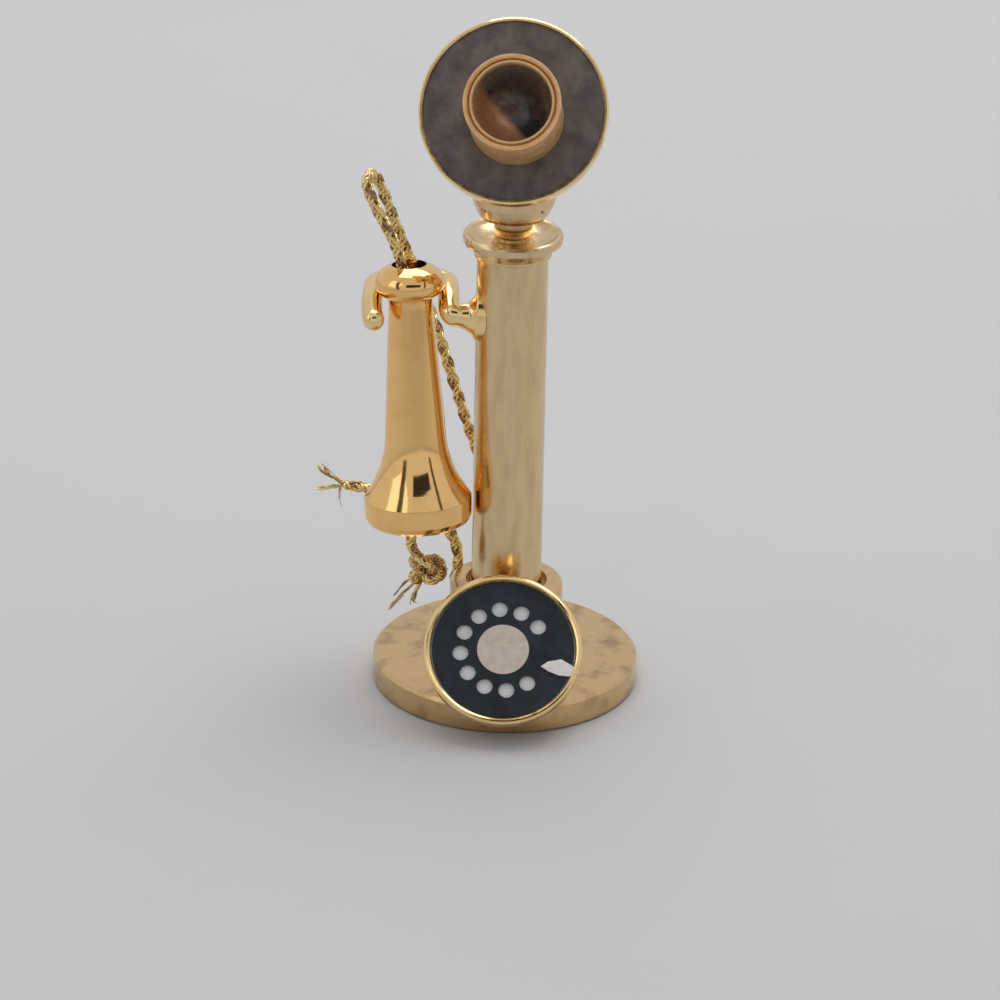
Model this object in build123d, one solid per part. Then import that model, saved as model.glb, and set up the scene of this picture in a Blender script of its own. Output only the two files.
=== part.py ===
from build123d import *
import math
import os

# Miniature candlestick telephone with a rotary dial. Millimetres, +Z up, -Y to the front.
# The origin is at the middle of the underside, on the axis of the post.

# ---- Driving dimensions ---------------------------------------------------------------
BASE_R = 19.0            # round foot
BASE_TOP = 4.3           # height of its flat top, where the collar and the post stand
COLLAR_R = 8.1
COLLAR_TOP = 15.3
POST_R = 5.0
POST_WALL = 0.7
POST_TOP = 66.0
FLANGE_R = 7.0           # wide rim of the post cap
FLANGE_TOP = 68.3
CUP_R = 5.95             # neck cup that carries the transmitter head
CUP_TOP = 75.8
PIVOT_Z = 74.3           # tilt axis of the head, along X
HEAD_R = 13.0
HEAD_CENTRE = Vector(-0.1, -3.0, 87.15)
HEAD_TILT = 31.0         # degrees that the head looks up
HEAD_TURN = -3.9         # degrees that it is turned in its cup, to its own right
MOUTH_R = 6.5
MOUTH_LENGTH = 11.0
MOUTH_DROP = 1.1         # the mouthpiece sits this far below the middle of the face
MOUTH_SIDE = 0.45        # and this far to the side
DIAL_R = 11.1            # outside of the bezel
DIAL_CENTRE = Vector(-0.26, -16.13, 12.0)
DIAL_TILT = 45.0
WHEEL_R = 10.0
HOLE_RING_R = 6.0
HOLE_R = 1.13
FIRST_HOLE = 35.5        # degrees, counter-clockwise from the right as seen from the front
HOLE_STEP = 30.0
HOLES = 10
CARD_R = 3.65
CAP_CENTRE = Vector(-14.25, 0.0, 60.62)      # round top knob of the receiver
EAR_CENTRE = Vector(-12.76, -2.92, 29.35)    # ridge of the receiver's bell
CAP_R = 4.95
CAP_HALF_HEIGHT = 2.9
CAP_HOLE_R = 2.45
NECK_R = 3.1
BELL_R = 7.6
FORK_GAP_R = 5.35        # centre line of the hook's fork, from the receiver's axis
ROD_R = 1.5              # rod of the hook
CORD_R = 0.75
RUN = 0.05               # running clearance of a pin or shaft, on the radius

Y_AXIS = Vector(0, 1, 0)


def turned(outline):
    """A body of revolution about Z from a closed outline of (radius, height) points."""
    wire = Polyline(*[(r, 0, z) for r, z in outline], close=True)
    return revolve(make_face(wire), Axis.Z, 360)


def disc(radius, low, high, bore=0.0):
    """A flat disc or ring about Z between two heights."""
    body = Pos(0, 0, (low + high) / 2) * Cylinder(radius, high - low)
    if bore:
        body -= Pos(0, 0, (low + high) / 2) * Cylinder(bore, high - low + 1)
    return body


def rod_along_x(radius, low, high, y=0.0, z=0.0):
    """A round bar along X."""
    return Pos((low + high) / 2, y, z) * Rot(0, 90, 0) * Cylinder(radius, high - low)


def block(low, high):
    """A box from its lowest to its highest corner."""
    size = [high[i] - low[i] for i in range(3)]
    middle = [(high[i] + low[i]) / 2 for i in range(3)]
    return Pos(*middle) * Box(*size)


def hexagon(across, low, high, bore):
    """A hexagon nut about Z."""
    outline = RegularPolygon(across / 2, 6, major_radius=False)
    nut = Pos(0, 0, low) * extrude(outline, high - low)
    return nut - Pos(0, 0, (low + high) / 2) * Cylinder(bore, high - low + 1)


def rounded(body, radius, low, high, far=0.0):
    """Round the circular edges of a turned body between two heights, outside a radius."""
    edges = [
        edge for edge in body.edges().filter_by(GeomType.CIRCLE)
        if low <= edge.center().Z <= high and edge.radius >= far
    ]
    return fillet(edges, radius)


# ---- Places of the tilted groups ------------------------------------------------------
def facing(centre, tilt):
    """A frame whose +Z leaves the face of a disc that looks forward and up, and whose X is +X."""
    angle = math.radians(tilt)
    normal = (0, -math.cos(angle), math.sin(angle))
    return Plane(origin=centre, x_dir=(1, 0, 0), z_dir=normal).location


HEAD = facing(HEAD_CENTRE, HEAD_TILT)
DIAL = facing(DIAL_CENTRE, DIAL_TILT)

UP = (CAP_CENTRE - EAR_CENTRE).normalized()           # axis of the hanging receiver
EAR_DEPTH = (CAP_CENTRE - EAR_CENTRE).length          # from the knob's middle to the ridge
RECEIVER = Plane(origin=CAP_CENTRE, x_dir=Y_AXIS.cross(UP), z_dir=UP).location

parts = {}


# ---- Foot -----------------------------------------------------------------------------
RIM_LOW = 0.3
SHELL_WALL = 1.2
TOP_EDGE = 4.05          # the top falls a little towards its edge
PLATE = (0.4, 1.2)
SCREW_R = 0.6
BASE_SCREW_RING = 13.0
BRACKET_SCREW_X = 2.2
BRACKET_SCREW_Y = -12.6

base = turned([
    (0, BASE_TOP), (COLLAR_R, BASE_TOP), (BASE_R - 0.5, TOP_EDGE), (BASE_R, TOP_EDGE - 0.45),
    (BASE_R, RIM_LOW), (BASE_R - SHELL_WALL, RIM_LOW), (BASE_R - SHELL_WALL, TOP_EDGE - SHELL_WALL),
    (COLLAR_R, BASE_TOP - SHELL_WALL), (0, BASE_TOP - SHELL_WALL),
])
base -= Cylinder(0.85, 20)
base_screws = []
for turn in (90, 210, 330):
    spot = Rot(0, 0, turn) * Pos(BASE_SCREW_RING, 0, 0)
    boss = spot * disc(1.6, PLATE[1], BASE_TOP - 0.9, bore=SCREW_R + 0.02)
    base += boss
    base_screws.append(spot * (disc(1.1, PLATE[0] + 0.02, 0.75) + disc(SCREW_R, 0.7, 2.9)))
for x in (-BRACKET_SCREW_X, BRACKET_SCREW_X):
    base -= Pos(x, BRACKET_SCREW_Y, 0) * Cylinder(SCREW_R + 0.02, 20)
parts["base_shell"] = base

plate = disc(BASE_R - SHELL_WALL - 0.05, *PLATE)
for turn in (90, 210, 330):
    spot = Rot(0, 0, turn) * Pos(BASE_SCREW_RING, 0, 0)
    plate -= spot * Cylinder(SCREW_R + 0.02, 10)
    plate -= spot * disc(1.15, 0, 0.77)
parts["base_plate"] = plate
parts["base_screws"] = Compound(base_screws)
parts["felt_pad"] = disc(BASE_R - SHELL_WALL - 0.4, 0.0, PLATE[0])

RECESS_R = POST_R + 0.8
RECESS_DEPTH = 1.6
collar = turned([
    (POST_R + 0.05, BASE_TOP), (COLLAR_R, BASE_TOP), (COLLAR_R, COLLAR_TOP), (RECESS_R, COLLAR_TOP),
    (RECESS_R, COLLAR_TOP - RECESS_DEPTH), (POST_R + 0.05, COLLAR_TOP - RECESS_DEPTH),
])
parts["base_collar"] = rounded(collar, 0.8, COLLAR_TOP - 0.1, COLLAR_TOP + 0.1, far=COLLAR_R - 0.1)

# ---- Post and the rod that ties it together --------------------------------------------
ROD_LOW, ROD_HIGH = 1.5, 65.6
TIE_R = 0.8
HOOK_Y, HOOK_Z = -1.2, 55.9      # where the hook's arm meets the post

post = disc(POST_R, BASE_TOP, POST_TOP, bore=POST_R - POST_WALL)
stud_hole = rod_along_x(0.92, -POST_R - 1, 0, HOOK_Y, HOOK_Z)
parts["post_tube"] = post - stud_hole
parts["tie_rod"] = disc(TIE_R, ROD_LOW, ROD_HIGH)
parts["tie_washer"] = disc(2.4, 2.7, BASE_TOP - SHELL_WALL, bore=TIE_R + 0.02)
parts["tie_nut"] = hexagon(3.6, 1.6, 2.7, TIE_R + 0.02)

# The cap stands on the tube: a ring moulding, a cone and a wide rim round a hollow dish.
DISH = 1.3
DISH_FLOOR_R = 3.1
CAP_SOCKET_R = 1.6
LIP_R = FLANGE_R - 0.7
cap_underside = Polyline(
    (DISH_FLOOR_R, 0, FLANGE_TOP - DISH), (0, 0, FLANGE_TOP - DISH), (0, 0, POST_TOP - 1.6),
    (POST_R - POST_WALL - 0.03, 0, POST_TOP - 1.6), (POST_R - POST_WALL - 0.03, 0, 64.9),
    (POST_R + 0.03, 0, 64.9), (POST_R + 0.45, 0, 65.15), (POST_R + 0.45, 0, 65.5), (POST_R + 0.2, 0, 65.8),
    (FLANGE_R - 0.5, 0, 66.75), (FLANGE_R - 0.1, 0, 67.0), (FLANGE_R, 0, 67.35),
    (FLANGE_R, 0, FLANGE_TOP - 0.4), (FLANGE_R - 0.12, 0, FLANGE_TOP - 0.12),
    (FLANGE_R - 0.4, 0, FLANGE_TOP), (LIP_R, 0, FLANGE_TOP - 0.1),
)
dish_arc = ThreePointArc(
    (LIP_R, 0, FLANGE_TOP - 0.1), (5.1, 0, FLANGE_TOP - 0.98), (DISH_FLOOR_R, 0, FLANGE_TOP - DISH)
)
post_cap = revolve(make_face(cap_underside + dish_arc), Axis.Z, 360)
post_cap -= disc(POST_R + 0.02, 60, POST_TOP) - disc(POST_R - POST_WALL - 0.03, 60, POST_TOP)
post_cap -= disc(TIE_R + 0.02, 60, ROD_HIGH + 0.1)
post_cap -= disc(CAP_SOCKET_R + 0.02, FLANGE_TOP - DISH - 1.1, 80)
parts["post_cap"] = post_cap

# ---- Hook: a round rod bent into a fork round the receiver's neck -----------------------
FORK_DROP = 2.95                 # fork centre line below the middle of the receiver's knob
FORK_BACK = 6.2                  # how far back the fork reaches
FORK_RISE = 0.75                 # how much its back is higher than its sides
fork_centre = CAP_CENTRE - UP * FORK_DROP
lean_slope = -UP.X / UP.Z


def fork_point(x, y, rise):
    """A point of the fork's centre line, which lies square to the leaning receiver but for its rise."""
    return (fork_centre.X + x, y, fork_centre.Z + x * lean_slope + rise)


arm_turn = Vector(*fork_point(FORK_GAP_R, -1.9, -0.75))
arm_foot = Vector(-POST_R + 0.6, HOOK_Y, HOOK_Z)
arm_along = (arm_foot - arm_turn).normalized()
FLARE = 2.2                      # length over which the arm widens into the post
flare_start = arm_foot - arm_along * FLARE
fork_path = FilletPolyline(
    fork_point(-FORK_GAP_R + 0.5, -6.0, -0.5),
    fork_point(-FORK_GAP_R, -2.6, -0.1),
    fork_point(-FORK_GAP_R, FORK_BACK, FORK_RISE),
    fork_point(FORK_GAP_R, FORK_BACK, FORK_RISE),
    tuple(arm_turn),
    tuple(flare_start),
    radius=[3.0, FORK_GAP_R - 0.05, FORK_GAP_R - 0.05, 1.3],
)
rod_section = Plane(origin=fork_path @ 0, z_dir=fork_path % 0) * Circle(ROD_R)
hook = sweep(rod_section, path=fork_path)
flare_edge = RadiusArc((ROD_R, 0), (ROD_R + FLARE - 0.3, FLARE), FLARE + 0.2)
flare_wire = Line((0, 0), (ROD_R, 0)) + flare_edge
flare_wire += Line(flare_edge @ 1, (0, FLARE)) + Line((0, FLARE), (0, 0))
flare = revolve(Plane.XZ * make_face(flare_wire), Axis.Z, 360)
hook += Plane(origin=flare_start, z_dir=arm_along).location * flare
hook = fillet(hook.faces().sort_by(Axis.Y)[0].edges(), 1.1)
hook -= disc(POST_R + 0.01, 40, 75)
stud = rod_along_x(0.9, -POST_R - 0.3, -2.2, HOOK_Y, HOOK_Z)
parts["receiver_hook"] = hook + stud
nut_place = Pos(-3.3, HOOK_Y, HOOK_Z) * Rot(0, 90, 0)
parts["hook_nut"] = nut_place * hexagon(2.6, 0, 0.8, 0.92)

# ---- Neck: stem, cup and the yoke that holds the tilt pin --------------------------------
STEM_R = 2.7
GROOVE = 0.35
CUP_LOW = 70.2
STEM_TOP = 71.4
CUP_WALL = 0.9
PIN_R = 0.6
LUG_WIDTH = 3.0                  # along X, between two friction washers
WASHER = 0.25
EAR_WIDTH = 1.2

stem_low = FLANGE_TOP - DISH
stem = turned([
    (0, stem_low - 1.1), (CAP_SOCKET_R, stem_low - 1.1), (CAP_SOCKET_R, stem_low), (STEM_R + 0.3, stem_low),
    (STEM_R + 0.3, stem_low + 0.4), (STEM_R, stem_low + 0.55), (STEM_R, stem_low + 1.0),
    (STEM_R - GROOVE, stem_low + 1.1), (STEM_R - GROOVE, stem_low + 1.4), (STEM_R, stem_low + 1.5),
    (STEM_R, stem_low + 2.2), (STEM_R - GROOVE, stem_low + 2.3), (STEM_R - GROOVE, stem_low + 2.5),
    (STEM_R, stem_low + 2.6), (STEM_R, CUP_LOW), (1.0, CUP_LOW), (1.0, STEM_TOP), (0, STEM_TOP),
])
parts["neck_stem"] = stem
cup = turned([
    (1.03, CUP_LOW + 0.02), (STEM_R, CUP_LOW + 0.02), (4.3, 70.75), (4.75, 70.95), (4.88, 71.2), (5.02, 71.4),
    (5.75, 73.1), (CUP_R, 74.2), (CUP_R, CUP_TOP - 0.25), (CUP_R - 0.25, CUP_TOP), (CUP_R - CUP_WALL, CUP_TOP),
    (CUP_R - CUP_WALL, 72.9), (3.9, 71.1), (3.7, 71.0), (1.03, 71.0),
])
pin_spots = []
for side in (-1, 1):
    spot = Pos(0, 0, 72.7) * Rot(0, 0, -90 + side * 45.5) * Pos(5.1, 0, 0) * Rot(0, 90, 0)
    cup -= spot * Cylinder(0.22, 1.8)
    pin_spots.append(spot * Cylinder(0.2, 1.4))
parts["neck_cup"] = cup
parts["neck_pins"] = Compound(pin_spots)

ear_low = LUG_WIDTH / 2 + WASHER + 0.05
yoke = disc(3.6, 71.0, 71.8, bore=1.03)
for side in (-1, 1):
    inner, outer = sorted((side * ear_low, side * (ear_low + EAR_WIDTH)))
    ear = block((inner, -1.5, 71.4), (outer, 1.5, PIVOT_Z)) + rod_along_x(1.5, inner, outer, z=PIVOT_Z)
    yoke += ear
yoke -= rod_along_x(PIN_R + 0.01, -5, 5, z=PIVOT_Z)
parts["tilt_yoke"] = yoke
pin = rod_along_x(PIN_R, -ear_low - EAR_WIDTH - 0.2, ear_low + EAR_WIDTH + 0.2, z=PIVOT_Z)
for side in (-1, 1):
    head_low, head_high = sorted((side * (ear_low + EAR_WIDTH + 0.02), side * (ear_low + EAR_WIDTH + 0.45)))
    pin += rod_along_x(1.0, head_low, head_high, z=PIVOT_Z)
parts["tilt_pin"] = pin
washers = []
for side in (-1, 1):
    low, high = sorted((side * (LUG_WIDTH / 2 + 0.03), side * (LUG_WIDTH / 2 + 0.02 + WASHER)))
    ring = rod_along_x(1.4, low, high, z=PIVOT_Z) - rod_along_x(PIN_R + 0.02, -5, 5, z=PIVOT_Z)
    washers.append(ring)
parts["friction_washers"] = Compound(washers)

# ---- Head: lug, shell, rim, face and mouthpiece -------------------------------------------
RIM_DEPTH = 2.4
FACE_DROP = 0.25                 # the face plate lies just below the edge of the rim
FACE_R = HEAD_R - 0.55
FACE_BACK = -1.13
LUG_R = 1.8
MOUTH_WALL = 0.55
MOUTH_FLOOR = 1.6
STUB_R = 2.36                    # the mouthpiece's stub goes through the face plate
MOUTH_SCREW_R = 0.8
SHELL_BACK = -5.0                # flat middle of the shell's back
LUG_FOOT_Y = -3.6
LUG_SCREW_X = 2.45

# Shapes in the head's own frame: +Z out of the face, -Y towards its lower edge.
shell = turned([
    (0, SHELL_BACK), (5.2, SHELL_BACK), (6.8, -4.4), (9.6, -3.1), (FACE_R - 0.1, -RIM_DEPTH), (FACE_R - 0.1, -1.15),
    (FACE_R - 0.8, -1.15), (FACE_R - 0.8, -2.0), (9.2, -2.4), (6.3, -3.5), (4.0, -4.1), (0, -4.1),
])
rim = turned([
    (FACE_R - 0.08, -RIM_DEPTH), (HEAD_R - 0.3, -RIM_DEPTH), (HEAD_R, -RIM_DEPTH + 0.3), (HEAD_R, -0.25),
    (HEAD_R - 0.25, 0), (FACE_R + 0.02, 0), (FACE_R - 0.08, -0.2),
])
mouth_spot = Pos(MOUTH_SIDE, -MOUTH_DROP, 0)
face = disc(FACE_R - 0.12, FACE_BACK, -FACE_DROP) - mouth_spot * Cylinder(STUB_R + 0.03, 8)
horn = turned([
    (MOUTH_SCREW_R + 0.02, FACE_BACK), (STUB_R, FACE_BACK), (STUB_R, -FACE_DROP), (MOUTH_R - 0.1, -FACE_DROP),
    (MOUTH_R, 0.1), (MOUTH_R, MOUTH_LENGTH - 0.5), (MOUTH_R + 0.12, MOUTH_LENGTH - 0.3),
    (MOUTH_R, MOUTH_LENGTH), (MOUTH_R - 0.3, MOUTH_LENGTH), (MOUTH_R - MOUTH_WALL, MOUTH_LENGTH - 0.3),
    (MOUTH_R - MOUTH_WALL, MOUTH_FLOOR), (MOUTH_SCREW_R + 0.02, MOUTH_FLOOR),
])
LINER_R = MOUTH_R - MOUTH_WALL - 0.03
LINER_FLOOR = 2.4
liner_top = MOUTH_LENGTH - 0.1
liner_outside = Polyline(
    (0, 0, LINER_FLOOR), (0, 0, MOUTH_FLOOR + 0.05), (LINER_R, 0, MOUTH_FLOOR + 0.05),
    (LINER_R, 0, MOUTH_LENGTH - 0.7), (LINER_R - 0.22, 0, MOUTH_LENGTH - 0.45), (LINER_R - 0.22, 0, liner_top),
    (LINER_R - 0.5, 0, liner_top), (LINER_R - 0.6, 0, MOUTH_LENGTH - 0.5),
)
liner_hollow = Bezier(
    (LINER_R - 0.6, 0, MOUTH_LENGTH - 0.5), (LINER_R - 0.65, 0, 5.0), (4.4, 0, LINER_FLOOR), (0, 0, LINER_FLOOR)
)
liner = revolve(make_face(liner_outside + liner_hollow), Axis.Z, 360)
mouth_screw = disc(MOUTH_SCREW_R, FACE_BACK - 0.2, MOUTH_FLOOR - 0.1)
mouth_screw += disc(STUB_R + 0.8, FACE_BACK - 0.55, FACE_BACK - 0.03)
lug_axis_top = (-0.95, 81.2)     # (Y, Z) where the lug meets the back of the shell
lug_lean = math.degrees(math.atan2(-lug_axis_top[0], lug_axis_top[1] - PIVOT_Z))
lug_length = math.hypot(lug_axis_top[0], lug_axis_top[1] - PIVOT_Z)
lug = rod_along_x(LUG_R, -LUG_WIDTH / 2, LUG_WIDTH / 2)
lug += block((-LUG_WIDTH / 2, -1.3, 0), (LUG_WIDTH / 2, 1.3, lug_length + 2.0))
lug = Pos(0, 0, PIVOT_Z) * Rot(lug_lean, 0, 0) * lug
lug_foot = HEAD * Pos(0, LUG_FOOT_Y, 0) * disc(3.2, SHELL_BACK - 0.8, SHELL_BACK)
lug += lug_foot
lug -= HEAD * disc(20, SHELL_BACK, 10)
lug_screws = []
screw_hole = disc(0.42, SHELL_BACK - 1, SHELL_BACK + 1)
lug_screw = disc(0.4, SHELL_BACK - 0.9, SHELL_BACK + 1) + disc(0.65, SHELL_BACK - 1.25, SHELL_BACK - 0.82)
for x in (-LUG_SCREW_X, LUG_SCREW_X):
    spot = Pos(x, LUG_FOOT_Y, 0)
    shell -= spot * screw_hole
    lug -= HEAD * spot * screw_hole
    lug_screws.append(HEAD * spot * lug_screw)
lug -= rod_along_x(PIN_R + RUN, -5, 5, z=PIVOT_Z)
parts["head_lug"] = lug
parts["lug_screws"] = Compound(lug_screws)
parts["head_shell"] = HEAD * shell
parts["head_rim"] = HEAD * rim
parts["face_plate"] = HEAD * face
parts["mouthpiece"] = HEAD * mouth_spot * horn
parts["mouthpiece_liner"] = HEAD * mouth_spot * liner
parts["mouthpiece_screw"] = HEAD * mouth_spot * mouth_screw

HEAD_NODES = (
    "tilt_yoke", "tilt_pin", "friction_washers", "head_lug", "lug_screws", "head_shell", "head_rim", "face_plate",
    "mouthpiece", "mouthpiece_liner", "mouthpiece_screw",
)
for name in HEAD_NODES:
    parts[name] = Rot(0, 0, HEAD_TURN) * parts[name]

# ---- Dial: bezel and housing, number plate, finger wheel, spindle and return spring ----------
# Shapes in the dial's own frame: +Z out of the face, depths are negative.
BEZEL_INNER_R = 10.2
WHEEL = (-0.85, -0.5)
NUMBER_PLATE = (-1.25, -0.95)
STOP_LEAF = (-0.42, -0.22)
HOUSING_FLOOR = -2.7
HOUSING_BACK = -3.3
SPINDLE_R = 0.6
BUSH_R = 1.3

bezel = turned([
    (BEZEL_INNER_R, -1.6), (DIAL_R, -1.6), (DIAL_R, -0.35), (DIAL_R - 0.3, -0.05), (DIAL_R - 0.5, 0),
    (BEZEL_INNER_R + 0.15, -0.12), (BEZEL_INNER_R, -0.35),
])
parts["dial_bezel"] = DIAL * bezel
housing = turned([
    (BUSH_R + 0.02, HOUSING_BACK), (7.6, HOUSING_BACK), (DIAL_R - 0.25, -2.45), (DIAL_R - 0.12, -1.62),
    (8.6, -1.62), (8.6, HOUSING_FLOOR), (BUSH_R + 0.02, HOUSING_FLOOR),
])
parts["dial_housing"] = DIAL * housing
parts["number_plate"] = DIAL * (disc(BEZEL_INNER_R - 0.05, *NUMBER_PLATE, bore=1.4) + disc(
    8.5, -1.62, NUMBER_PLATE[0], bore=7.6))
wheel = disc(WHEEL_R, *WHEEL, bore=SPINDLE_R + 0.01)
for index in range(HOLES):
    angle = FIRST_HOLE + HOLE_STEP * index
    wheel -= Rot(0, 0, angle) * Pos(HOLE_RING_R, 0, 0) * Cylinder(HOLE_R, 4)
parts["finger_wheel"] = DIAL * wheel
parts["center_card"] = DIAL * disc(CARD_R, WHEEL[1], WHEEL[1] + 0.12)
spindle = disc(SPINDLE_R, -3.75, WHEEL[1]) + disc(1.1, WHEEL[0] - 0.12, WHEEL[0])
spindle -= disc(2, -3.55, -3.35, bore=0.42)
parts["dial_spindle"] = DIAL * spindle
bush = disc(BUSH_R, HOUSING_BACK, HOUSING_FLOOR + 0.35, bore=SPINDLE_R + RUN)
bush += disc(2.0, HOUSING_FLOOR, HOUSING_FLOOR + 0.35, bore=SPINDLE_R + RUN)
parts["dial_bushing"] = DIAL * bush
clip = disc(1.15, -3.53, -3.37, bore=0.44) - block((0, -0.35, -4), (2, 0.35, -3))
parts["spindle_clip"] = DIAL * clip


def spiral_spring(first_r, pitch, half_turns, width, low, high):
    """A flat spiral made of half circles, each half a pitch larger than the last."""
    arcs = []
    x_start = first_r
    for index in range(half_turns):
        side = 1 if index % 2 == 0 else -1
        radius = first_r + pitch * index / 2
        x_end = x_start - side * 2 * radius
        top = (x_start + x_end) / 2
        arcs.append(ThreePointArc((x_start, 0), (top, side * radius), (x_end, 0)))
        x_start = x_end
    path = Curve() + arcs
    strip = Plane(origin=(first_r, 0, (low + high) / 2), x_dir=(1, 0, 0), z_dir=(0, 1, 0))
    return sweep(strip * Rectangle(width, high - low), path=path)


parts["return_spring"] = DIAL * spiral_spring(1.2, 0.7, 11, 0.22, -2.25, -1.75)

# The stop is a thin leaf over the wheel, let into the inside of the bezel and pinned there.
stop_leaf = make_face(Polyline(
    (5.35, -2.45), (6.3, -1.75), (7.3, -1.55), (8.2, -1.35), (9.2, -1.95), (10.5, -2.75), (10.3, -3.75),
    (9.2, -3.85), (7.9, -3.75), (6.4, -3.15), close=True,
))
stop_height = STOP_LEAF[1] - STOP_LEAF[0]
stop_pin = Pos(10.45, -3.2, 0) * disc(0.22, -1.1, STOP_LEAF[1])
leaf = Pos(0, 0, STOP_LEAF[0]) * extrude(stop_leaf, stop_height) + stop_pin
slot = Pos(0, 0, STOP_LEAF[0] - 0.02) * extrude(offset(stop_leaf, 0.03), stop_height + 0.04)
slot += Pos(10.45, -3.2, 0) * disc(0.24, -1.12, STOP_LEAF[1])
parts["dial_bezel"] -= DIAL * slot
parts["finger_stop"] = DIAL * leaf

BRACKET_WIDTH = 7.0
HUB_FRONT_Y = -COLLAR_R - 0.35
bracket_outline = make_face(Polyline(
    (-15.9, BASE_TOP), (-19.5, 8.5), (-13.0, 15.0), (HUB_FRONT_Y, 14.0), (HUB_FRONT_Y, BASE_TOP), close=True,
))
bracket = extrude(Plane.YZ * bracket_outline, BRACKET_WIDTH / 2, both=True)
bracket -= DIAL * disc(30, HOUSING_BACK, 20)
bracket -= DIAL * disc(1.7, -4.4, 0)
bracket_screws = []
for x in (-BRACKET_SCREW_X, BRACKET_SCREW_X):
    spot = Pos(x, BRACKET_SCREW_Y, 0)
    bracket -= spot * disc(SCREW_R + 0.02, 0, 7.6)
    bracket_screws.append(spot * (disc(1.1, 2.35, BASE_TOP - SHELL_WALL - 0.15) + disc(SCREW_R, 2.9, 7.5)))
parts["dial_bracket"] = fillet(bracket.edges().filter_by(Axis.Z), 0.6)
parts["bracket_screws"] = Compound(bracket_screws)

# ---- Receiver: shell, knob, ear cap and ear plate ---------------------------------------------
# Shapes in the receiver's own frame: +Z along its axis, zero at the middle of the knob.
SHELL_WALL_R = 0.8
EAR_HEIGHT = 3.95
ear_low = -EAR_DEPTH - EAR_HEIGHT

SHAFT_RADII = [4.0, 30.0, 14.5]
outline = FilletPolyline(
    (NECK_R, -0.55), (NECK_R, -3.2), (3.45, -8.2), (4.57, -26.45), (BELL_R, -EAR_DEPTH), radius=SHAFT_RADII
)
inner = FilletPolyline(
    (NECK_R - SHELL_WALL_R, -0.55), (NECK_R - SHELL_WALL_R, -3.2), (3.45 - SHELL_WALL_R, -8.2),
    (4.57 - SHELL_WALL_R, -26.9), (BELL_R - 1.2, -EAR_DEPTH), radius=SHAFT_RADII,
)
section = outline + Line(outline @ 1, inner @ 1) + inner + Line(inner @ 0, outline @ 0)
receiver_shell = revolve(Plane.XZ * make_face(section), Axis.Z, 360)
parts["receiver_shell"] = RECEIVER * receiver_shell

knob = scale(Sphere(CAP_R), by=(1, 1, CAP_HALF_HEIGHT / CAP_R))
knob -= disc(CAP_HOLE_R, -0.5, 10) + disc(NECK_R + 0.02, -10, -0.5) + disc(10, CAP_HALF_HEIGHT - 0.3, 10)
parts["receiver_cap"] = RECEIVER * knob

ear = turned([
    (BELL_R - 0.9, -EAR_DEPTH - 0.02), (BELL_R, -EAR_DEPTH - 0.02), (BELL_R + 0.02, -EAR_DEPTH - 0.35),
    (BELL_R - 0.05, -EAR_DEPTH - 2.7), (BELL_R - 0.35, -EAR_DEPTH - 3.4), (BELL_R - 0.9, ear_low + 0.1),
    (BELL_R - 1.5, ear_low), (4.6, ear_low + 0.25), (4.3, ear_low + 0.55), (4.6, ear_low + 0.8),
    (BELL_R - 0.9, ear_low + 0.8),
])
parts["ear_cap"] = RECEIVER * ear
parts["ear_plate"] = RECEIVER * disc(BELL_R - 0.95, ear_low + 0.82, ear_low + 1.2, bore=1.25)

# ---- Cord -------------------------------------------------------------------------------------
# One metallic cord runs from the knot under the bell, up through the hollow receiver, over in a
# standing loop, down behind the fork to the back of the post, round the foot and up behind the bell.
KNOT_CENTRE = Vector(-11.45, -3.5, 18.1)
KNOT_SIZE = (3.1, 2.7, 2.5)
LEAD_ROUTE = [
    (-12.2, -3.5, 19.6), (-13.9, -3.5, 21.6), (-13.4, -3.4, 24.0), (-12.6, -3.1, 26.8), (-12.9, -2.6, 31.6),
    (-13.1, -2.4, 38.5), (-13.8, -1.4, 46.0), (-13.9, -1.0, 53.0), (-14.3, 0.0, 58.6), (-15.3, 0.2, 62.9),
    (-16.6, 0.5, 66.6), (-18.4, 0.9, 69.8), (-19.7, 1.1, 72.5), (-20.5, 1.3, 74.6), (-20.1, 2.85, 75.5),
    (-19.1, 4.15, 74.6), (-18.1, 4.2, 72.2), (-17.3, 4.2, 70.0),
]
LOOP_ROUTE = [
    (-17.3, 4.2, 70.0), (-16.5, 4.2, 67.8), (-15.5, 4.3, 65.2), (-14.8, 5.1, 62.9), (-14.3, 7.3, 61.1),
    (-13.6, 9.3, 58.4), (-12.4, 9.3, 54.8), (-10.7, 8.2, 50.9), (-8.3, 7.4, 43.4), (-5.6, 7.4, 34.6),
    (-2.2, 7.6, 26.0), (1.6, 8.6, 19.0), (3.4, 9.9, 12.2), (1.4, 11.8, 7.8), (-2.6, 12.0, 6.1),
    (-5.6, 11.2, 6.4), (-7.4, 9.3, 8.4), (-7.5, 8.1, 11.2), (-6.9, 7.0, 15.0), (-7.7, 6.2, 19.2),
    (-11.2, 6.2, 23.0), (-15.8, 6.4, 25.6), (-20.2, 5.9, 26.3), (-23.6, 6.0, 26.8),
]


def corner_radii(route):
    """The radius of the arc at each corner: as large as its two runs allow."""
    radii = []
    for before, corner, after in zip(route, route[1:], route[2:]):
        into = Vector(*corner) - Vector(*before)
        out = Vector(*after) - Vector(*corner)
        half_turn = math.radians(into.get_angle(out)) / 2
        radii.append(0.45 * min(into.length, out.length) / math.tan(half_turn))
    return radii


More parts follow.
